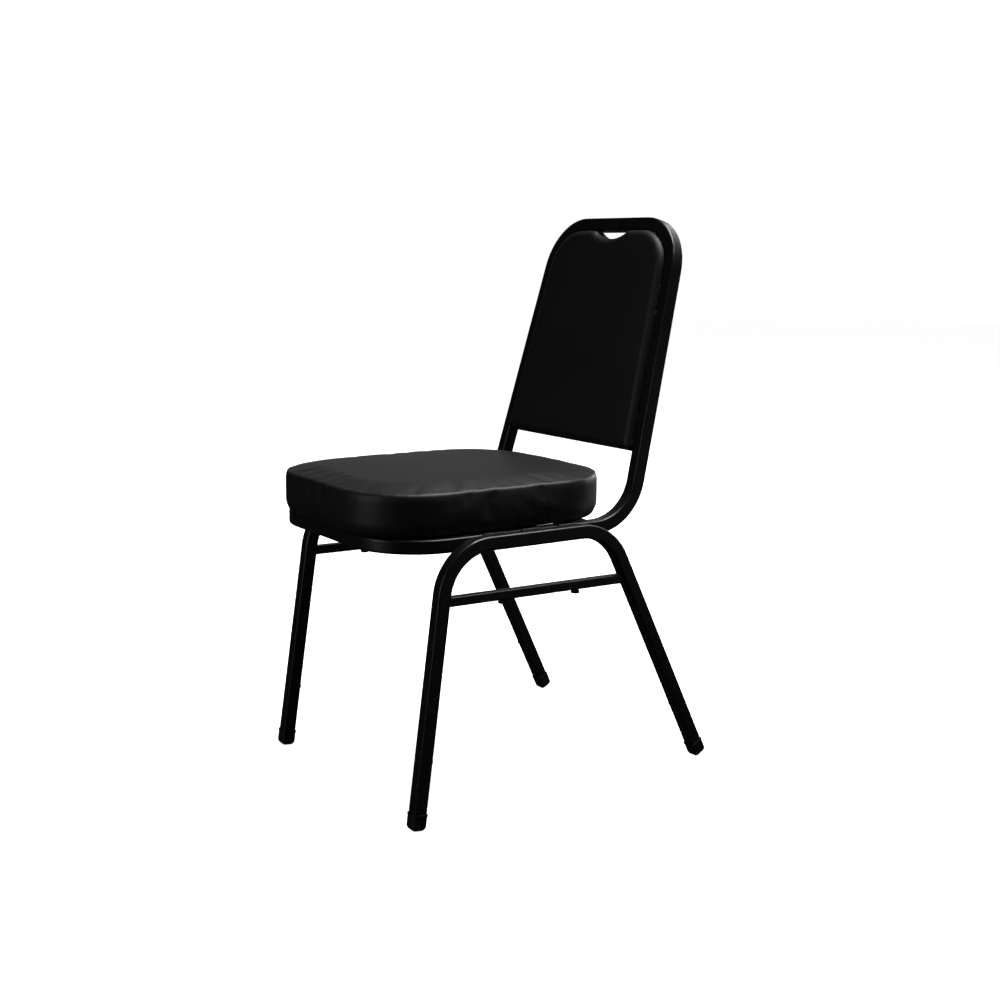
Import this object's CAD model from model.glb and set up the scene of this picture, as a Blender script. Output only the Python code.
import math

import bmesh
import bpy
from mathutils import Matrix, Vector, geometry, kdtree, noise


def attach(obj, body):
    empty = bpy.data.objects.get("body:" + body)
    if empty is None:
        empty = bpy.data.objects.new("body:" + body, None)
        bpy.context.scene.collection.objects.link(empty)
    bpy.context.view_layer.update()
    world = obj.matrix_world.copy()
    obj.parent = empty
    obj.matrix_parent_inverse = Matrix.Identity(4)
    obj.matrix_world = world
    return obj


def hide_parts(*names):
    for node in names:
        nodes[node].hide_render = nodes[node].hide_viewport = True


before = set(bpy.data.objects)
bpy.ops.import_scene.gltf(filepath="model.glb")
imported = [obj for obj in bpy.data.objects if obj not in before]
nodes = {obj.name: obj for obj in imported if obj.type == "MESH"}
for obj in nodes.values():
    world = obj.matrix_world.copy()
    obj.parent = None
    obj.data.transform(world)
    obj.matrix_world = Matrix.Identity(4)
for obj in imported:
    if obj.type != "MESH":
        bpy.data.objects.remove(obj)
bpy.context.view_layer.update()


# ---- Steel frame --------------------------------------------------------------------------
# Square steel tube, bent, welded and powder coated black in one go: the back-and-seat loop,
# the two leg frames, the stretchers, the seat's cross bars and the back's tabs. The coat is
# satin, with a fine orange peel, and the stacking has just begun to rub its high edges.
def shader_material(name):
    """A material with a principled shader, and a function that adds a node to it."""
    material = bpy.data.materials.new(name)
    material.use_nodes = True
    tree = material.node_tree
    shader = tree.nodes["Principled BSDF"]

    def add(kind, inputs=None, **settings):
        node = tree.nodes.new(kind)
        for key, value in settings.items():
            setattr(node, key, value)
        for key, value in (inputs or {}).items():
            if isinstance(value, bpy.types.NodeSocket):
                tree.links.new(value, node.inputs[key])
            else:
                node.inputs[key].default_value = value
        return node

    return material, shader, add


def link(material, source, target):
    """Joins an output socket to an input socket."""
    material.node_tree.links.new(source, target)


def ramp(add, factor, stops):
    """A colour ramp with its stops given as (position, grey or colour)."""
    node = add("ShaderNodeValToRGB", {"Fac": factor})
    elements = node.color_ramp.elements
    while len(elements) < len(stops):
        elements.new(0.5)
    for element, (position, colour) in zip(elements, stops):
        element.position = position
        if isinstance(colour, (int, float)):
            colour = (colour, colour, colour)
        element.color = (*colour, 1.0)
    return node.outputs["Color"]


def to_range(add, factor, low, high):
    """A factor from 0 to 1 spread over a range."""
    node = add("ShaderNodeMapRange", {"Value": factor, "To Min": low, "To Max": high})
    return node.outputs["Result"]


def powder_coat(name, ripple=0.0):
    """Satin black powder coat; a ripple shows the ridges of a weld bead under it."""
    material, shader, add = shader_material(name)
    place = add("ShaderNodeTexCoord").outputs["Object"]
    peel = add("ShaderNodeTexNoise", {"Vector": place, "Scale": 900.0, "Detail": 2.0})
    cloud = add("ShaderNodeTexNoise", {"Vector": place, "Scale": 14.0, "Detail": 5.0})
    rub = add("ShaderNodeTexNoise", {"Vector": place, "Scale": 260.0, "Detail": 4.0})
    edge = ramp(add, add("ShaderNodeNewGeometry").outputs["Pointiness"], [(0.53, 0.0), (0.6, 1.0)])
    speck = ramp(add, rub.outputs["Fac"], [(0.56, 0.0), (0.66, 1.0)])
    worn = add("ShaderNodeMath", {0: edge, 1: speck}, operation="MULTIPLY").outputs["Value"]
    coat = ramp(add, cloud.outputs["Fac"], [(0.3, (0.0028, 0.0028, 0.003)), (0.7, (0.0045, 0.0045, 0.0048))])
    colour = add("ShaderNodeMix", {0: worn, 6: coat, 7: (0.03, 0.029, 0.028, 1.0)}, data_type="RGBA")
    link(material, colour.outputs[2], shader.inputs["Base Color"])
    link(material, to_range(add, cloud.outputs["Fac"], 0.3, 0.4), shader.inputs["Roughness"])
    bump = add("ShaderNodeBump", {"Height": peel.outputs["Fac"], "Strength": 0.12, "Distance": 0.0004})
    if ripple:
        wave = add(
            "ShaderNodeTexWave",
            {"Vector": place, "Scale": ripple, "Distortion": 2.0, "Detail": 2.0},
            bands_direction="Y",
        )
        bump = add(
            "ShaderNodeBump",
            {
                "Height": wave.outputs["Fac"],
                "Strength": 0.9,
                "Distance": 0.0012,
                "Normal": bump.outputs["Normal"],
            },
        )
    link(material, bump.outputs["Normal"], shader.inputs["Normal"])
    shader.inputs["Specular IOR Level"].default_value = 0.4
    return material


def finish_node(material, *names):
    """Gives CAD pieces their real finish."""
    for name in names:
        slots = nodes[name].data.materials
        for index in range(len(slots)):
            slots[index] = material
        if not slots:
            slots.append(material)


SIDES = ("left", "right")
ENDS = ("front", "rear")
frame_coat = powder_coat("frame_coat")
finish_node(frame_coat, "frame_loop", "back_tabs", *(f"seat_bar_{end}" for end in ENDS))
finish_node(frame_coat, *(f"{piece}_{side}" for piece in ("leg_frame", "stretcher") for side in SIDES))


# ---- Weld beads ---------------------------------------------------------------------------
# Short MIG beads fill the groove between each seat rail and the leg frame beside it, over and
# under. They were laid before coating, so the coat lies over their ripples.
bead_coat = powder_coat("bead_coat", ripple=70.0)
finish_node(bead_coat, *(f"weld_beads_{side}" for side in SIDES))


# ---- Foot caps, bumpers and buttons -------------------------------------------------------
# Moulded black plastic, pushed on over the tube ends or into drilled holes. The caps stand on
# worn flats, so their lowest few millimetres are scuffed grey and dull.
def moulded_plastic(name, sole_height=0.0):
    """Satin black plastic with a spark-eroded grain, scuffed up to a height off the floor."""
    material, shader, add = shader_material(name)
    place = add("ShaderNodeTexCoord").outputs["Object"]
    grain = add("ShaderNodeTexNoise", {"Vector": place, "Scale": 1500.0, "Detail": 3.0})
    cloud = add("ShaderNodeTexNoise", {"Vector": place, "Scale": 60.0, "Detail": 6.0})
    black = ramp(add, cloud.outputs["Fac"], [(0.3, 0.004), (0.7, 0.007)])
    rough = to_range(add, cloud.outputs["Fac"], 0.42, 0.54)
    if sole_height:
        height = add("ShaderNodeSeparateXYZ", {"Vector": place}).outputs["Z"]
        near = add(
            "ShaderNodeMapRange",
            {"Value": height, "From Min": sole_height, "From Max": 0.0, "To Min": 0.0, "To Max": 1.0},
        ).outputs["Result"]
        scuff = ramp(add, cloud.outputs["Fac"], [(0.42, 0.15), (0.6, 1.0)])
        worn = add("ShaderNodeMath", {0: near, 1: scuff}, operation="MULTIPLY").outputs["Value"]
        mixed = add("ShaderNodeMix", {0: worn, 6: black, 7: (0.05, 0.049, 0.047, 1.0)}, data_type="RGBA")
        black = mixed.outputs[2]
        rough = add("ShaderNodeMath", {0: rough, 1: worn}, operation="MAXIMUM").outputs["Value"]
    link(material, black, shader.inputs["Base Color"])
    link(material, rough, shader.inputs["Roughness"])
    bump = add("ShaderNodeBump", {"Height": grain.outputs["Fac"], "Strength": 0.2, "Distance": 0.0003})
    link(material, bump.outputs["Normal"], shader.inputs["Normal"])
    shader.inputs["Specular IOR Level"].default_value = 0.35
    return material


def at_each_leg(piece):
    """The names of a piece that is there once for each leg."""
    return [f"{piece}_{end}_{side}" for end in ENDS for side in SIDES]


scuff_height = 0.004
cap_plastic = moulded_plastic("cap_plastic", sole_height=scuff_height)
finish_node(cap_plastic, *at_each_leg("foot_cap"))
pad_plastic = moulded_plastic("pad_plastic")
finish_node(pad_plastic, *at_each_leg("leg_bumper"), *at_each_leg("stacking_button"))


# ---- Seat board, back board and dust cover ------------------------------------------------
# Birch plywood carries the cushion and the back pad and takes their tee nuts. The dust cover
# is a black non-woven cloth, stapled over the seat cover's turned-in edge underneath.
def plywood(name, across):
    """Raw birch ply: long grain on its faces and dark glue lines between its plies."""
    material, shader, add = shader_material(name)
    place = add("ShaderNodeTexCoord").outputs["Object"]
    stretched = add("ShaderNodeMapping", {"Vector": place, "Scale": (26.0, 3.0, 26.0)})
    grain = add("ShaderNodeTexNoise", {"Vector": stretched.outputs["Vector"], "Scale": 6.0, "Detail": 8.0})
    face = ramp(
        add,
        grain.outputs["Fac"],
        [(0.3, (0.5, 0.34, 0.19)), (0.52, (0.64, 0.47, 0.28)), (0.7, (0.7, 0.54, 0.35))],
    )
    depth = add("ShaderNodeVectorMath", {0: place, 1: across}, operation="DOT_PRODUCT").outputs["Value"]
    plies = add("ShaderNodeMath", {0: depth, 1: 4200.0}, operation="MULTIPLY").outputs["Value"]
    lines = add("ShaderNodeMath", {0: plies}, operation="SINE").outputs["Value"]
    glue = ramp(add, lines, [(0.8, 0.0), (0.97, 0.55)])
    mixed = add("ShaderNodeMix", {0: glue, 6: face, 7: (0.2, 0.12, 0.06, 1.0)}, data_type="RGBA")
    link(material, mixed.outputs[2], shader.inputs["Base Color"])
    bump = add("ShaderNodeBump", {"Height": grain.outputs["Fac"], "Strength": 0.25, "Distance": 0.0005})
    link(material, bump.outputs["Normal"], shader.inputs["Normal"])
    shader.inputs["Roughness"].default_value = 0.7
    return material


def nonwoven(name):
    """Black spun-bonded cloth with its tiny embossed diamonds and loose fibres."""
    material, shader, add = shader_material(name)
    place = add("ShaderNodeTexCoord").outputs["Object"]
    fibre = add("ShaderNodeTexNoise", {"Vector": place, "Scale": 1100.0, "Detail": 6.0})
    dots = add("ShaderNodeTexVoronoi", {"Vector": place, "Scale": 520.0, "Randomness": 0.0})
    pressed = ramp(add, dots.outputs["Distance"], [(0.2, 0.0), (0.4, 1.0)])
    black = ramp(add, fibre.outputs["Fac"], [(0.35, 0.004), (0.65, 0.014)])
    link(material, black, shader.inputs["Base Color"])
    height = add("ShaderNodeMath", {0: fibre.outputs["Fac"], 1: pressed}, operation="ADD").outputs["Value"]
    bump = add("ShaderNodeBump", {"Height": height, "Strength": 0.5, "Distance": 0.0003})
    link(material, bump.outputs["Normal"], shader.inputs["Normal"])
    shader.inputs["Roughness"].default_value = 0.95
    shader.inputs["Specular IOR Level"].default_value = 0.2
    return material


def board_axes(node, towards):
    """Frame of a flat board: X to the sitter's left, Z square to its faces, on one side."""
    faces = nodes[node].data.polygons
    normal = max(faces, key=lambda face: face.area).normal.copy()
    if normal.dot(towards) < 0:
        normal = -normal
    axis_x = Vector((1, 0, 0))
    axis_y = normal.cross(axis_x).normalized()
    return Matrix((axis_x, axis_y, normal)).transposed()


def local_box(node, axes):
    """Lowest and highest corner of a CAD piece in a board's own axes."""
    points = [axes.transposed() @ vertex.co for vertex in nodes[node].data.vertices]
    low = Vector(min(point[k] for point in points) for k in range(3))
    high = Vector(max(point[k] for point in points) for k in range(3))
    return low, high


seat_axes = board_axes("seat_board", Vector((0, 0, 1)))
back_axes = board_axes("back_board", Vector((0, -1, 0)))
finish_node(plywood("seat_plywood", tuple(seat_axes.col[2])), "seat_board")
finish_node(plywood("back_plywood", tuple(back_axes.col[2])), "back_board")
finish_node(nonwoven("dust_cloth"), "seat_dust_cover")


# ---- Seat cushion -------------------------------------------------------------------------
# A foam block in a vinyl cover of two panels: a top panel, and a side band whose lower edge is
# pulled under the board and stapled. They are sewn together round the shoulder, where the
# seam stands as a small ridge and draws the vinyl into shallow puckers.
def black_vinyl(name):
    """Soft black upholstery vinyl: pebbled grain, fine pores and a faint waxy sheen."""
    material, shader, add = shader_material(name)
    place = add("ShaderNodeTexCoord").outputs["Object"]
    pebble = add("ShaderNodeTexVoronoi", {"Vector": place, "Scale": 900.0}, feature="SMOOTH_F1")
    crease = add("ShaderNodeTexVoronoi", {"Vector": place, "Scale": 420.0}, feature="DISTANCE_TO_EDGE")
    pore = add("ShaderNodeTexNoise", {"Vector": place, "Scale": 2600.0, "Detail": 3.0})
    cloud = add("ShaderNodeTexNoise", {"Vector": place, "Scale": 9.0, "Detail": 4.0})
    black = ramp(
        add, cloud.outputs["Fac"], [(0.3, (0.0042, 0.0043, 0.0045)), (0.7, (0.0062, 0.0062, 0.0062))]
    )
    link(material, black, shader.inputs["Base Color"])
    link(material, to_range(add, cloud.outputs["Fac"], 0.47, 0.56), shader.inputs["Roughness"])
    groove = ramp(add, crease.outputs["Distance"], [(0.0, 0.0), (0.12, 1.0)])
    fine = add("ShaderNodeBump", {"Height": pore.outputs["Fac"], "Strength": 0.15, "Distance": 0.0002})
    cells = add(
        "ShaderNodeBump",
        {
            "Height": pebble.outputs["Distance"],
            "Strength": 0.25,
            "Distance": 0.0003,
            "Normal": fine.outputs["Normal"],
        },
    )
    lines = add(
        "ShaderNodeBump",
        {"Height": groove, "Strength": 0.2, "Distance": 0.0002, "Normal": cells.outputs["Normal"]},
    )
    link(material, lines.outputs["Normal"], shader.inputs["Normal"])
    shader.inputs["Specular IOR Level"].default_value = 0.35
    return material


def make_piece(name, points, faces, material, body="root"):
    """A mesh piece in the chair's frame, shaded smooth, riding on a body."""
    mesh = bpy.data.meshes.new(name)
    mesh.from_pydata([tuple(point) for point in points], [], faces)
    mesh.validate()
    solid = bmesh.new()
    solid.from_mesh(mesh)
    bmesh.ops.recalc_face_normals(solid, faces=solid.faces)
    solid.to_mesh(mesh)
    solid.free()
    for polygon in mesh.polygons:
        polygon.use_smooth = True
    mesh.materials.append(material)
    piece = bpy.data.objects.new(name, mesh)
    bpy.context.scene.collection.objects.link(piece)
    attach(piece, body)
    return piece


def circle_meet(centre_a, radius_a, centre_b, radius_b, side):
    """Where two circles cross, on one side of the line between their centres."""
    across = centre_b - centre_a
    gap = across.length
    along = (gap**2 + radius_a**2 - radius_b**2) / (2 * gap)
    rise = math.sqrt(radius_a**2 - along**2)
    square = Vector((-across.y, across.x)) / gap
    return centre_a + across * (along / gap) + square * (rise * side)


def bowed_outline(half, front, rear, bows, radii, inset, arc_points):
    """Closed plan of a bowed, round-cornered panel, drawn in by an inset, as even arcs."""
    side_bow, front_bow, rear_bow = bows
    front_radius, rear_radius = radii
    middle = (front + rear) / 2

    def arc_radius(chord, bow):
        return (chord**2 / 4 + bow**2) / (2 * bow)

    side_r = arc_radius(rear - front, side_bow)
    front_r = arc_radius(2 * half, front_bow)
    rear_r = arc_radius(2 * half, rear_bow)
    side_c = Vector((half + side_bow - side_r, middle))
    front_c = Vector((0, front - front_bow + front_r))
    rear_c = Vector((0, rear + rear_bow - rear_r))
    front_corner = circle_meet(side_c, side_r - front_radius, front_c, front_r - front_radius, 1)
    if front_corner.x < 0 or front_corner.y > middle:
        front_corner = circle_meet(side_c, side_r - front_radius, front_c, front_r - front_radius, -1)
    rear_corner = circle_meet(side_c, side_r - rear_radius, rear_c, rear_r - rear_radius, 1)
    if rear_corner.x < 0 or rear_corner.y < middle:
        rear_corner = circle_meet(side_c, side_r - rear_radius, rear_c, rear_r - rear_radius, -1)

    def heading(from_point, to_point):
        return math.atan2(to_point.y - from_point.y, to_point.x - from_point.x)

    front_side = heading(side_c, front_corner)
    rear_side = heading(side_c, rear_corner)
    front_turn = heading(front_c, front_corner)
    rear_turn = heading(rear_c, rear_corner)
    half_arcs = (
        (front_c, front_r, -math.pi / 2, front_turn),
        (front_corner, front_radius, front_turn, front_side),
        (side_c, side_r, front_side, rear_side),
        (rear_corner, rear_radius, rear_side, rear_turn),
        (rear_c, rear_r, rear_turn, math.pi / 2),
    )
    right = []
    for (centre, radius, start, end), count in zip(half_arcs, arc_points):
        for step in range(count):
            angle = start + (end - start) * step / count
            right.append(centre + Vector((math.cos(angle), math.sin(angle))) * (radius - inset))
    last_centre, last_radius, _, last_angle = half_arcs[-1]
    top = last_centre + Vector((math.cos(last_angle), math.sin(last_angle))) * (last_radius - inset)
    left = [Vector((-point.x, point.y)) for point in reversed(right[1:])]
    return right + [top] + left


cushion_low, cushion_high = local_box("seat_cover", seat_axes)
cushion_bows = (0.0085, 0.006, 0.010)
cushion_corner_radii = (0.112, 0.135)
cushion_half = cushion_high.x - cushion_bows[0]
cushion_front = cushion_low.y + cushion_bows[1]
cushion_rear = cushion_high.y - cushion_bows[2]
cushion_base = cushion_low.z
cushion_mesh_spacing = 0.0028
cushion_cloth_spacing = 0.0075
# Heights over the rails, and how far the cover lies inside its widest line
band_bottom_inset = 0.0052
band_bottom_height = 0.0035
band_full_height = 0.020
band_top_height = 0.0602
shoulder_rise = 0.0088
shoulder_run = 0.0085
crown_rise = 0.0068
seam_share = 0.45
under_edge_inset = 0.012
opening_inset = 0.033
dust_cover_clearance = 0.0015


def cushion_plan(inset, arc_points):
    """Plan of the cushion, drawn in by an inset."""
    sizes = (cushion_half, cushion_front, cushion_rear, cushion_bows, cushion_corner_radii)
    return bowed_outline(*sizes, inset, arc_points)


def shoulder(share):
    """(inset, height) round the shoulder: 0 at the top of the band and 1 at the top panel."""
    angle = share * math.pi / 2
    return (
        shoulder_run * (1 - math.cos(angle)) ** 0.9,
        band_top_height + shoulder_rise * math.sin(angle),
    )


def band(share):
    """(inset, height) up the side band, which tapers in to its stapled lower edge."""
    height = band_bottom_height + (band_top_height - band_bottom_height) * share
    low = max(0.0, 1 - (height - band_bottom_height) / (band_full_height - band_bottom_height))
    return band_bottom_inset * low**1.6, height


def cushion_rings(spacing):
    """Rings of (inset, height, share of the plan) from under the board up to the middle."""
    rings = [(opening_inset, dust_cover_clearance, share) for share in (0.3, 0.6, 0.85, 1.0)]
    rings += [(opening_inset - 0.0004, 0.0, 1.0), (0.022, 0.0, 1.0), (under_edge_inset, 0.0002, 1.0)]
    rings += [(0.0085, 0.0007, 1.0), (0.0063, 0.0019, 1.0)]
    band_steps = round((band_top_height - band_bottom_height) / spacing)
    rings += [(*band(step / band_steps), 1.0) for step in range(band_steps)]
    shoulder_steps = round(1.3 * shoulder_rise / spacing)
    rings += [(*shoulder(step / shoulder_steps), 1.0) for step in range(shoulder_steps + 1)]
    top_steps = round(cushion_half / spacing)
    for step in range(1, top_steps):
        share = 1 - step / top_steps
        rise = crown_rise * (1 - share**2.4)
        rings.append((shoulder_run, band_top_height + shoulder_rise + rise, share))
    return rings


def cushion_mesh(spacing):
    """Points and faces of the whole cushion in the seat's own axes, with its ring length."""
    arc_lengths = (0.11, 0.155, 0.29, 0.165, 0.11)
    arc_points = [round(length / spacing) for length in arc_lengths]
    centre = Vector((0, (cushion_front + cushion_rear) / 2))
    points = []
    for inset, height, share in cushion_rings(spacing):
        outline = cushion_plan(inset, arc_points)
        for point in outline:
            flat = centre + (point - centre) * share
            points.append(Vector((flat.x, flat.y, cushion_base + height)))
    ring = len(outline)
    rows = len(points) // ring
    faces = []
    for row in range(rows - 1):
        for index in range(ring):
            beside = (index + 1) % ring
            faces.append(
                (row * ring + index, row * ring + beside, (row + 1) * ring + beside, (row + 1) * ring + index)
            )
    bottom, top = len(points), len(points) + 1
    points.append(Vector((centre.x, centre.y, cushion_base + dust_cover_clearance)))
    points.append(Vector((centre.x, centre.y, cushion_base + band_top_height + shoulder_rise + crown_rise)))
    for index in range(ring):
        beside = (index + 1) % ring
        faces.append((beside, index, bottom))
        faces.append(((rows - 1) * ring + index, (rows - 1) * ring + beside, top))
    return points, faces


def cloth_swell(points, faces, held, pressure, extra_cloth, limit, frames=20):
    """Blows a closed cover up a little as cloth, and returns how far each point moved.

    held gives each point's hold, from 0, free, to 1, fixed."""
    mesh = bpy.data.meshes.new("swelling")
    mesh.from_pydata([tuple(point) for point in points], [], faces)
    piece = bpy.data.objects.new("swelling", mesh)
    bpy.context.scene.collection.objects.link(piece)
    group = piece.vertex_groups.new(name="held")
    for index, hold in enumerate(held):
        if hold > 0:
            group.add([index], hold, "REPLACE")
    cloth = piece.modifiers.new("cloth", "CLOTH")
    settings = cloth.settings
    settings.quality = 6
    settings.mass = 0.4
    settings.tension_stiffness = settings.compression_stiffness = 25
    settings.shear_stiffness = 12
    settings.bending_stiffness = 2.0
    settings.use_pressure = True
    settings.uniform_pressure_force = pressure
    settings.shrink_min = -extra_cloth
    settings.vertex_group_mass = "held"
    settings.pin_stiffness = 1.0
    settings.effector_weights.gravity = 0.0
    cloth.collision_settings.use_collision = False
    cloth.point_cache.frame_end = frames
    scene = bpy.context.scene
    for step in range(1, frames + 1):
        scene.frame_set(step)
    swollen = piece.evaluated_get(bpy.context.evaluated_depsgraph_get())
    moves = []
    for point, vertex in zip(points, swollen.data.vertices):
        move = vertex.co - point
        if move.length > limit:
            move = move * (limit / move.length)
        moves.append(move)
    scene.frame_set(1)
    bpy.data.objects.remove(piece)
    return moves


def carry_moves(points, coarse, moves, neighbours=6):
    """The coarse cloth's moves, blended onto the points of a finer mesh."""
    tree = kdtree.KDTree(len(coarse))
    for index, point in enumerate(coarse):
        tree.insert(point, index)
    tree.balance()
    carried = []
    for point in points:
        total, weights = Vector(), 0.0
        for _, index, distance in tree.find_n(point, neighbours):
            weight = 1 / (distance + 0.0015) ** 2
            total += moves[index] * weight
            weights += weight
        carried.append(total / weights)
    return carried


seam_inset, seam_height = shoulder(seam_share)
seam_hold_reach = 0.005
seam_line = cushion_plan(seam_inset, (60, 90, 150, 90, 60))
seam_points = [Vector((point.x, point.y, cushion_base + seam_height)) for point in seam_line]


def seat_cloth_hold(point):
    """The cover is held where it is stapled and, less, along the seam round the shoulder."""
    height = point.z - cushion_base
    if height < band_bottom_height:
        return 1.0
    near_seam = max(0.0, 1 - abs(height - seam_height) / seam_hold_reach)
    return 0.5 * near_seam if height < band_top_height + 0.9 * shoulder_rise else 0.0


cushion_points, cushion_faces = cushion_mesh(cushion_mesh_spacing)
coarse_points, coarse_faces = cushion_mesh(cushion_cloth_spacing)
seat_hold = [seat_cloth_hold(point) for point in coarse_points]
seat_moves = cloth_swell(
    coarse_points, coarse_faces, seat_hold, pressure=2.0, extra_cloth=0.004, limit=0.005
)
fine_moves = carry_moves(cushion_points, coarse_points, seat_moves)
cushion_points = [point + move for point, move in zip(cushion_points, fine_moves)]

seam_tree = kdtree.KDTree(len(seam_points))
for index, point in enumerate(seam_points):
    seam_tree.insert(point, index)
seam_tree.balance()
seam_ridge = 0.0007
seam_ridge_width = 0.0022
seam_groove = 0.0006
seam_groove_place = 0.0055
seam_groove_width = 0.003
seam_length = 1.55
pucker_depth = 0.0006
pucker_length = 0.014
seam_reach = 0.016
cushion_middle = Vector((0, (cushion_front + cushion_rear) / 2, cushion_base))
for point in cushion_points:
    if point.z < cushion_base + band_full_height:
        continue
    nearest, index, distance = seam_tree.find(point)
    if distance > 2 * seam_reach:
        continue
    outward = nearest - cushion_middle
    outward.z = outward.xy.length * 0.8
    outward.normalize()
    along = index * (seam_length / len(seam_points))
    wave = noise.noise(Vector((along / pucker_length, 3.1, 0.0))) * pucker_depth
    ridge = seam_ridge * math.exp(-((distance / seam_ridge_width) ** 2))
    groove = seam_groove * math.exp(-(((distance - seam_groove_place) / seam_groove_width) ** 2))
    pucker = wave * math.exp(-((distance / seam_reach) ** 2))
    point += outward * (ridge - groove + pucker)

vinyl = black_vinyl("black_vinyl")
seat_cushion = make_piece(
    "seat_cushion", [seat_axes @ point for point in cushion_points], cushion_faces, vinyl
)
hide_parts("seat_cover", "seat_foam")


# ---- Seat staples -------------------------------------------------------------------------
# Galvanised wire staples, shot through the cover's turned-in edge into the board under the
# cushion, every 17 mm or so and never quite in line.
def zinc_plate(name):
    """Bright zinc: fine brushed streaks, pale grey with a hint of blue bloom."""
    material, shader, add = shader_material(name)
    place = add("ShaderNodeTexCoord").outputs["Object"]
    bloom = add("ShaderNodeTexNoise", {"Vector": place, "Scale": 180.0, "Detail": 5.0})
    streak = add("ShaderNodeMapping", {"Vector": place, "Scale": (40.0, 900.0, 40.0)})
    brushed = add("ShaderNodeTexNoise", {"Vector": streak.outputs["Vector"], "Scale": 3.0, "Detail": 3.0})
    grey = ramp(add, bloom.outputs["Fac"], [(0.35, (0.42, 0.43, 0.45)), (0.65, (0.6, 0.61, 0.6))])
    link(material, grey, shader.inputs["Base Color"])
    link(material, to_range(add, brushed.outputs["Fac"], 0.25, 0.42), shader.inputs["Roughness"])
    bump = add("ShaderNodeBump", {"Height": brushed.outputs["Fac"], "Strength": 0.15, "Distance": 0.0002})
    link(material, bump.outputs["Normal"], shader.inputs["Normal"])
    shader.inputs["Metallic"].default_value = 1.0
    return material


zinc = zinc_plate("zinc_plate")
staple_wire = 0.0005
staple_crown = 0.0095
staple_inset = 0.024
staple_lift = 0.0001
staple_line = cushion_plan(staple_inset, (6, 8, 15, 8, 6))
staple_points, staple_faces = [], []
for index, point in enumerate(staple_line):
    along = (staple_line[(index + 1) % len(staple_line)] - staple_line[index - 1]).normalized()
    lean = 0.5 * noise.noise(Vector((index * 0.73, 1.7, 0.0)))
    along = Matrix.Rotation(lean, 2) @ along
    square = Vector((-along.y, along.x))
    first = len(staple_points)
    for end in (-1, 1):
        for side, drop in ((-1, 0.0), (1, 0.0), (1, -1.0), (-1, -1.0)):
            flat = point + along * (end * staple_crown / 2) + square * (side * staple_wire / 2)
            height = cushion_base + staple_lift + drop * staple_wire
            staple_points.append(seat_axes @ Vector((flat.x, flat.y, height)))
    for corner in range(4):
        beside = (corner + 1) % 4
        staple_faces.append((first + corner, first + beside, first + 4 + beside, first + 4 + corner))
    staple_faces.append((first, first + 1, first + 2, first + 3))
    staple_faces.append((first + 7, first + 6, first + 5, first + 4))
seat_staples = make_piece("seat_staples", staple_points, staple_faces, zinc)


# ---- Seat and back fixings ----------------------------------------------------------------
# Zinc-plated steel: button-head screws with hexagon sockets go through the cross bars and
# the back's tabs, over plain washers at the seat, into pronged tee nuts in the boards.
finish_node(zinc, "seat_tee_nuts", "seat_washers", "seat_screws", "back_tee_nuts", "back_screws")


# ---- Back pad -----------------------------------------------------------------------------
# Foam on a plywood board under one piece of vinyl, pulled round to the back. It fills the back
# loop, stands a little proud of the tube, and dips at its top edge to leave a hand hold.
def pad_edge(low, high):
    """Front view of the pad as one closed line, in the back's own axes."""
    lean = math.radians(4.0)
    top_radius = 0.0707
    bottom_radius = 0.005
    notch_half = 0.047
    notch_depth = 0.0145
    notch_share = 0.8
    mouth_round = 0.009
    corner_spacing = 0.0015
    bottom, top = low.y, high.y
    bottom_half = high.x
    top_half = bottom_half - (top - bottom) * math.tan(lean)
    arc_r = (notch_half**2 + notch_depth**2) / (2 * notch_depth)
    corners = [
        ((bottom_half, bottom), bottom_radius),
        ((top_half, top), top_radius),
        ((notch_half, top), mouth_round),
    ]
    side = [Vector((0, bottom))]
    ring = [Vector((0, bottom))] + [Vector(corner) for corner, _ in corners]
    notch_start = math.acos(1 - notch_depth / arc_r)
    notch_centre = Vector((0, top - notch_depth + arc_r))
    notch_end = notch_start * notch_share
    leave = notch_centre + Vector((math.sin(notch_end), -math.cos(notch_end))) * arc_r
    ring.append(leave)
    for index, (_, radius) in enumerate(corners, start=1):
        before, here, after = ring[index - 1], ring[index], ring[index + 1]
        towards_before = (before - here).normalized()
        towards_after = (after - here).normalized()
        turn = math.acos(max(-1, min(1, towards_before.dot(towards_after))))
        reach = radius / math.tan(turn / 2)
        centre = here + (towards_before + towards_after).normalized() * (radius / math.sin(turn / 2))
        start = here + towards_before * reach - centre
        end = here + towards_after * reach - centre
        swing = start.angle_signed(end)
        steps = max(6, round(abs(swing) * radius / corner_spacing))
        for step in range(steps + 1):
            side.append(centre + Matrix.Rotation(-swing * step / steps, 2) @ start)
    for step in range(1, 13):
        angle = notch_end * (1 - step / 12)
        side.append(notch_centre + Vector((math.sin(angle), -math.cos(angle))) * arc_r)
    mirrored = [Vector((-point.x, point.y)) for point in reversed(side[1:-1])]
    return side + mirrored


pad_low, pad_high = local_box("back_cover", back_axes)
pad_line = pad_edge(pad_low, pad_high)
dense_spacing = 0.001
dense_line = []
for index, point in enumerate(pad_line):
    following = pad_line[(index + 1) % len(pad_line)]
    pieces = max(1, math.ceil((following - point).length / dense_spacing))
    dense_line += [point.lerp(following, step / pieces) for step in range(pieces)]
pad_tree = kdtree.KDTree(len(dense_line))
for index, point in enumerate(dense_line):
    pad_tree.insert((point.x, point.y, 0), index)
pad_tree.balance()
pad_edge_round = 0.011
pad_edge_rise = 0.012
pad_crown = 0.0035
pad_crown_reach = 0.055
pad_face_drop = 0.0015
pad_block_drop = 0.002
pad_hold_height = 0.004
pad_mesh_voxel = 0.003
pad_cloth_voxel = 0.006


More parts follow.
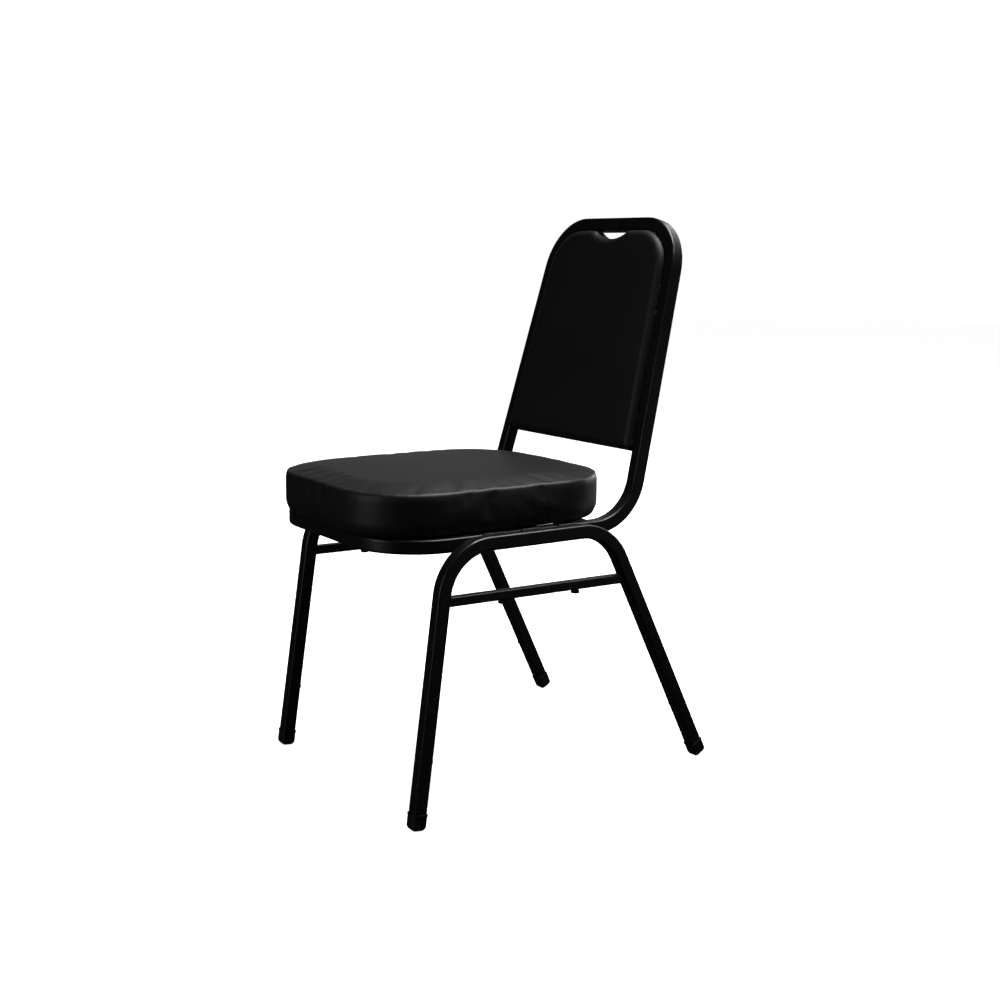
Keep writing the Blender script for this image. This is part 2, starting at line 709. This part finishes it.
def pad_front(distance):
    """Height of the pad's face over its board plane, by distance from its edge."""
    rounded = min(1.0, distance / pad_edge_round)
    arc = math.sqrt(max(0.0, 1 - (1 - rounded) ** 2))
    full = pad_high.z - pad_face_drop
    return full - pad_edge_rise * (1 - arc) + pad_crown * (1 - math.exp(-distance / pad_crown_reach))


def pad_mesh(voxel):
    """The pad as an even closed mesh, in the back's own axes."""
    count = len(pad_line)
    block_top = pad_high.z - pad_block_drop
    points = [Vector((point.x, point.y, pad_low.z)) for point in pad_line]
    points += [Vector((point.x, point.y, block_top)) for point in pad_line]
    triangles = geometry.tessellate_polygon([[Vector((p.x, p.y, 0)) for p in pad_line]])
    faces = [tuple(reversed(triangle)) for triangle in triangles]
    faces += [tuple(index + count for index in triangle) for triangle in triangles]
    faces += [(i, (i + 1) % count, (i + 1) % count + count, i + count) for i in range(count)]
    mesh = bpy.data.meshes.new("pad_block")
    mesh.from_pydata([tuple(point) for point in points], [], faces)
    block = bpy.data.objects.new("pad_block", mesh)
    bpy.context.scene.collection.objects.link(block)
    solid = bmesh.new()
    solid.from_mesh(mesh)
    bmesh.ops.recalc_face_normals(solid, faces=solid.faces)
    solid.to_mesh(mesh)
    solid.free()
    remesh = block.modifiers.new("even", "REMESH")
    remesh.mode = "VOXEL"
    remesh.voxel_size = voxel
    even = block.evaluated_get(bpy.context.evaluated_depsgraph_get()).data
    points = [vertex.co.copy() for vertex in even.vertices]
    faces = [tuple(polygon.vertices) for polygon in even.polygons]
    bpy.data.objects.remove(block)
    middle = (pad_low.z + pad_high.z - pad_block_drop) / 2
    for point in points:
        near, _, distance = pad_tree.find((point.x, point.y, 0))
        if point.z > middle + voxel:
            point.z = pad_front(distance)
        elif point.z > pad_low.z + voxel * 0.7:
            point.x, point.y = near.x, near.y
            share = (point.z - pad_low.z) / (block_top - pad_low.z)
            point.z = pad_low.z + share * (pad_front(0.0) - pad_low.z)
        else:
            point.z = pad_low.z
    return points, faces


pad_points, pad_faces = pad_mesh(pad_mesh_voxel)
coarse_pad, coarse_pad_faces = pad_mesh(pad_cloth_voxel)
pad_hold = [1.0 if point.z < pad_hold_height else 0.0 for point in coarse_pad]
pad_moves = cloth_swell(
    coarse_pad, coarse_pad_faces, pad_hold, pressure=2.0, extra_cloth=0.002, limit=0.003
)
fine_pad_moves = carry_moves(pad_points, coarse_pad, pad_moves)
pad_points = [point + move for point, move in zip(pad_points, fine_pad_moves)]
back_pad = make_piece("back_pad", [back_axes @ point for point in pad_points], pad_faces, vinyl)
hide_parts("back_cover", "back_foam")


# ---- Rear panel ---------------------------------------------------------------------------
# A moulded black plastic panel closes the back, level with the tube's middle. It covers the
# back's screws, and dips at its top to leave the hand hold open.
finish_node(moulded_plastic("panel_plastic"), "rear_panel")


# ---- Floor, light and camera --------------------------------------------------------------
# A pale seamless floor under a pale dome, which the black chair doesn't mirror, and soft boxes:
# one overhead, two behind, and two weak ones at the front and the side.
def stage_piece(name, mesh, glow):
    """A pale piece of the set, lit from within, that throws no light on the chair."""
    material, shader, add = shader_material(name)
    place = add("ShaderNodeTexCoord").outputs["Object"]
    paper = add("ShaderNodeTexNoise", {"Vector": place, "Scale": 30.0, "Detail": 3.0})
    pale = ramp(add, paper.outputs["Fac"], [(0.3, 0.86), (0.7, 0.88)])
    link(material, pale, shader.inputs["Base Color"])
    shader.inputs["Roughness"].default_value = 0.9
    shader.inputs["Specular IOR Level"].default_value = 0.0
    shader.inputs["Emission Color"].default_value = (1.0, 1.0, 1.0, 1.0)
    shader.inputs["Emission Strength"].default_value = glow
    mesh.materials.append(material)
    piece = bpy.data.objects.new(name, mesh)
    bpy.context.scene.collection.objects.link(piece)
    piece.visible_diffuse = False
    piece.visible_glossy = False
    piece.visible_shadow = False
    return piece


def soft_light(name, place, target, size, power):
    """A rectangular soft box that faces a point."""
    data = bpy.data.lights.new(name, "AREA")
    data.shape = "RECTANGLE"
    data.size, data.size_y = size
    data.energy = power
    light = bpy.data.objects.new(name, data)
    light.location = place
    light.rotation_mode = "QUATERNION"
    light.rotation_quaternion = (Vector(target) - Vector(place)).to_track_quat("-Z", "Y")
    light.visible_camera = False
    bpy.context.scene.collection.objects.link(light)
    return light


floor_reach = 12.0
floor_glow, dome_glow = 0.97, 1.0
floor_mesh = bpy.data.meshes.new("floor")
corners = ((-1, -1), (1, -1), (1, 1), (-1, 1))
floor_mesh.from_pydata([(x * floor_reach, y * floor_reach, 0) for x, y in corners], [], [(0, 1, 2, 3)])
stage_piece("floor", floor_mesh, floor_glow)
dome_mesh = bpy.data.meshes.new("dome")
dome_shape = bmesh.new()
bmesh.ops.create_uvsphere(dome_shape, u_segments=48, v_segments=24, radius=floor_reach)
dome_shape.to_mesh(dome_mesh)
dome_shape.free()
stage_piece("dome", dome_mesh, dome_glow)
soft_light("back_light", (-2.9, 2.0, 1.0), (0, 0, 0.45), (3.4, 1.8), 5.0)
soft_light("overhead_light", (0.4, 1.1, 3.2), (0, 0, 0.4), (1.8, 1.8), 160.0)
soft_light("front_light", (0.0, -2.8, 1.0), (0, 0, 0.6), (0.4, 1.3), 13.0)
soft_light("side_light", (2.6, 1.6, 0.25), (0, 0, 0.45), (1.6, 1.0), 0.6)
soft_light("rear_light", (-0.8, 3.1, 1.4), (0, 0, 0.55), (1.8, 1.8), 60.0)

world = bpy.data.worlds.new("studio")
world.use_nodes = True
world.node_tree.nodes["Background"].inputs["Color"].default_value = (1.0, 1.0, 1.0, 1.0)
world.node_tree.nodes["Background"].inputs["Strength"].default_value = 0.015
bpy.context.scene.world = world
bpy.context.scene.view_settings.view_transform = "Standard"

camera_data = bpy.data.cameras.new("camera")
camera_data.lens = 51.23
camera_data.sensor_width = 36.0
camera_data.shift_x = 0.0052
camera_data.shift_y = -0.0054
camera_data.clip_end = 100.0
camera = bpy.data.objects.new("camera", camera_data)
camera.location = (1.9657, -1.2705, 0.8786)
azimuth, pitch, roll = math.radians(56.53), math.radians(10.42), math.radians(-0.64)
forward = Vector(
    (-math.sin(azimuth) * math.cos(pitch), math.cos(azimuth) * math.cos(pitch), -math.sin(pitch))
)
level = forward.cross(Vector((0, 0, 1))).normalized()
upright = level.cross(forward)
right = level * math.cos(roll) + upright * math.sin(roll)
upward = upright * math.cos(roll) - level * math.sin(roll)
camera.rotation_mode = "QUATERNION"
camera.rotation_quaternion = Matrix((right, upward, -forward)).transposed().to_quaternion()
bpy.context.scene.collection.objects.link(camera)
bpy.context.scene.camera = camera
